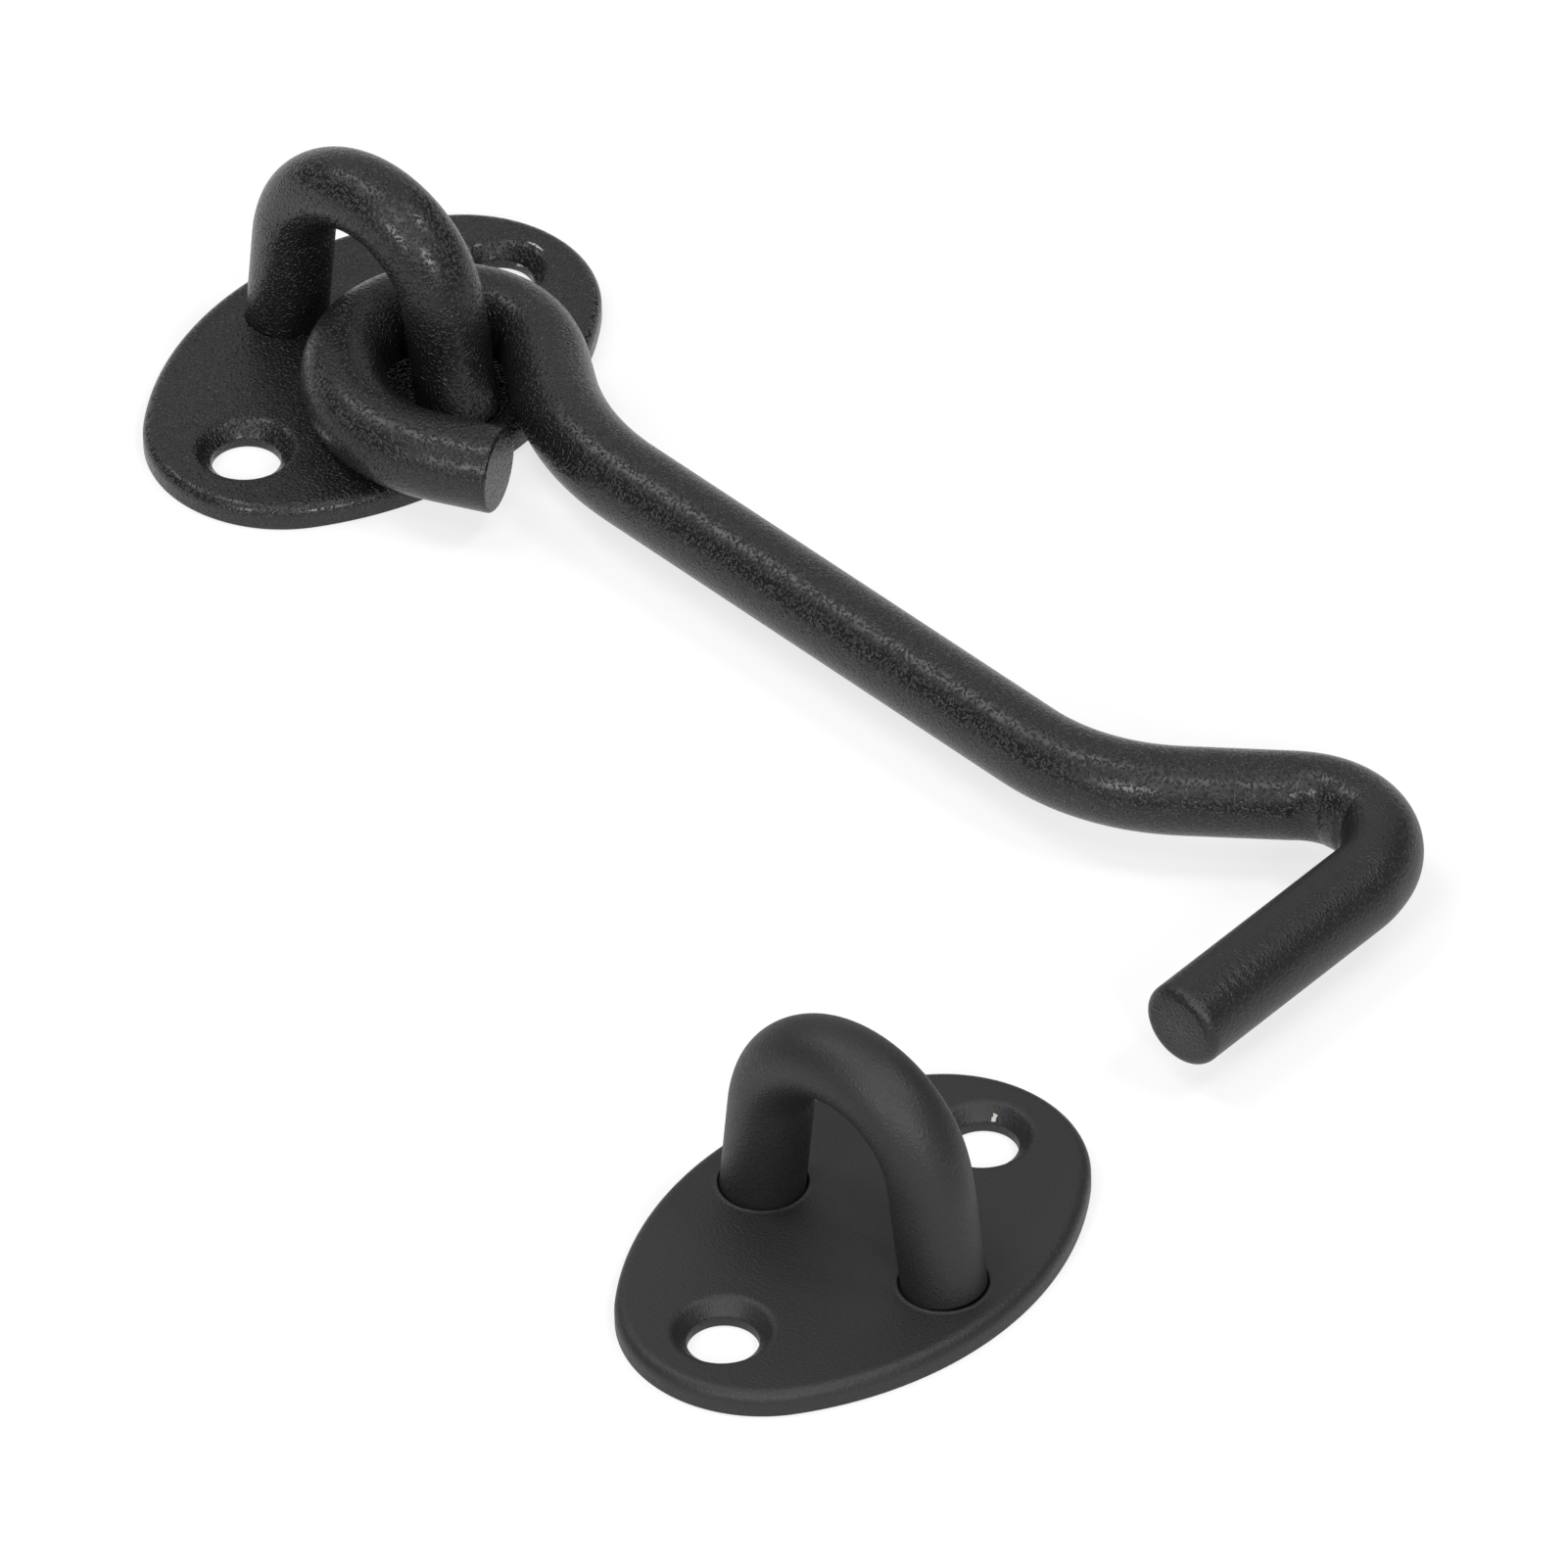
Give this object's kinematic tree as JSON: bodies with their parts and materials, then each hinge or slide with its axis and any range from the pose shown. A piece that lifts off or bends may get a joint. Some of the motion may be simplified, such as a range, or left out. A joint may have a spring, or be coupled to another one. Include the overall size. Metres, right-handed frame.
{
  "type": "barn door latch",
  "caption": "Hook and eye door latch: a bent round bar arm swings on a staple riveted to an oval plate and drops through the staple of a like plate.",
  "frame": {"origin": "middle of the hook plate's back, half way between its two screw holes", "axes": "+Z out of the door face that both plates lie on, +Y from screw hole to screw hole of a plate, +X from the hook plate towards the arm's nose"},
  "size_m": [0.1171, 0.0892, 0.0196],
  "materials": {
    "plate_coat": "pressed steel under satin black powder coat with a fine grain",
    "staple_coat": "bent steel bar under satin black powder coat",
    "arm_coat": "bent steel bar under satin black powder coat, ground at the nose's tip"
  },
  "bodies": {
    "base": {"hook_plate": "plate_coat", "hook_staple": "staple_coat", "keeper_plate": "plate_coat", "keeper_staple": "staple_coat"},
    "arm": {"hook_arm": "arm_coat"}
  },
  "joints": [
    {"name": "arm_swing", "type": "hinge", "parent": "base", "child": "arm", "pos_m": [0.00782, 0, 0.00535], "axis": [0, 0, 1], "range_deg": [-15, 155]}
  ]
}
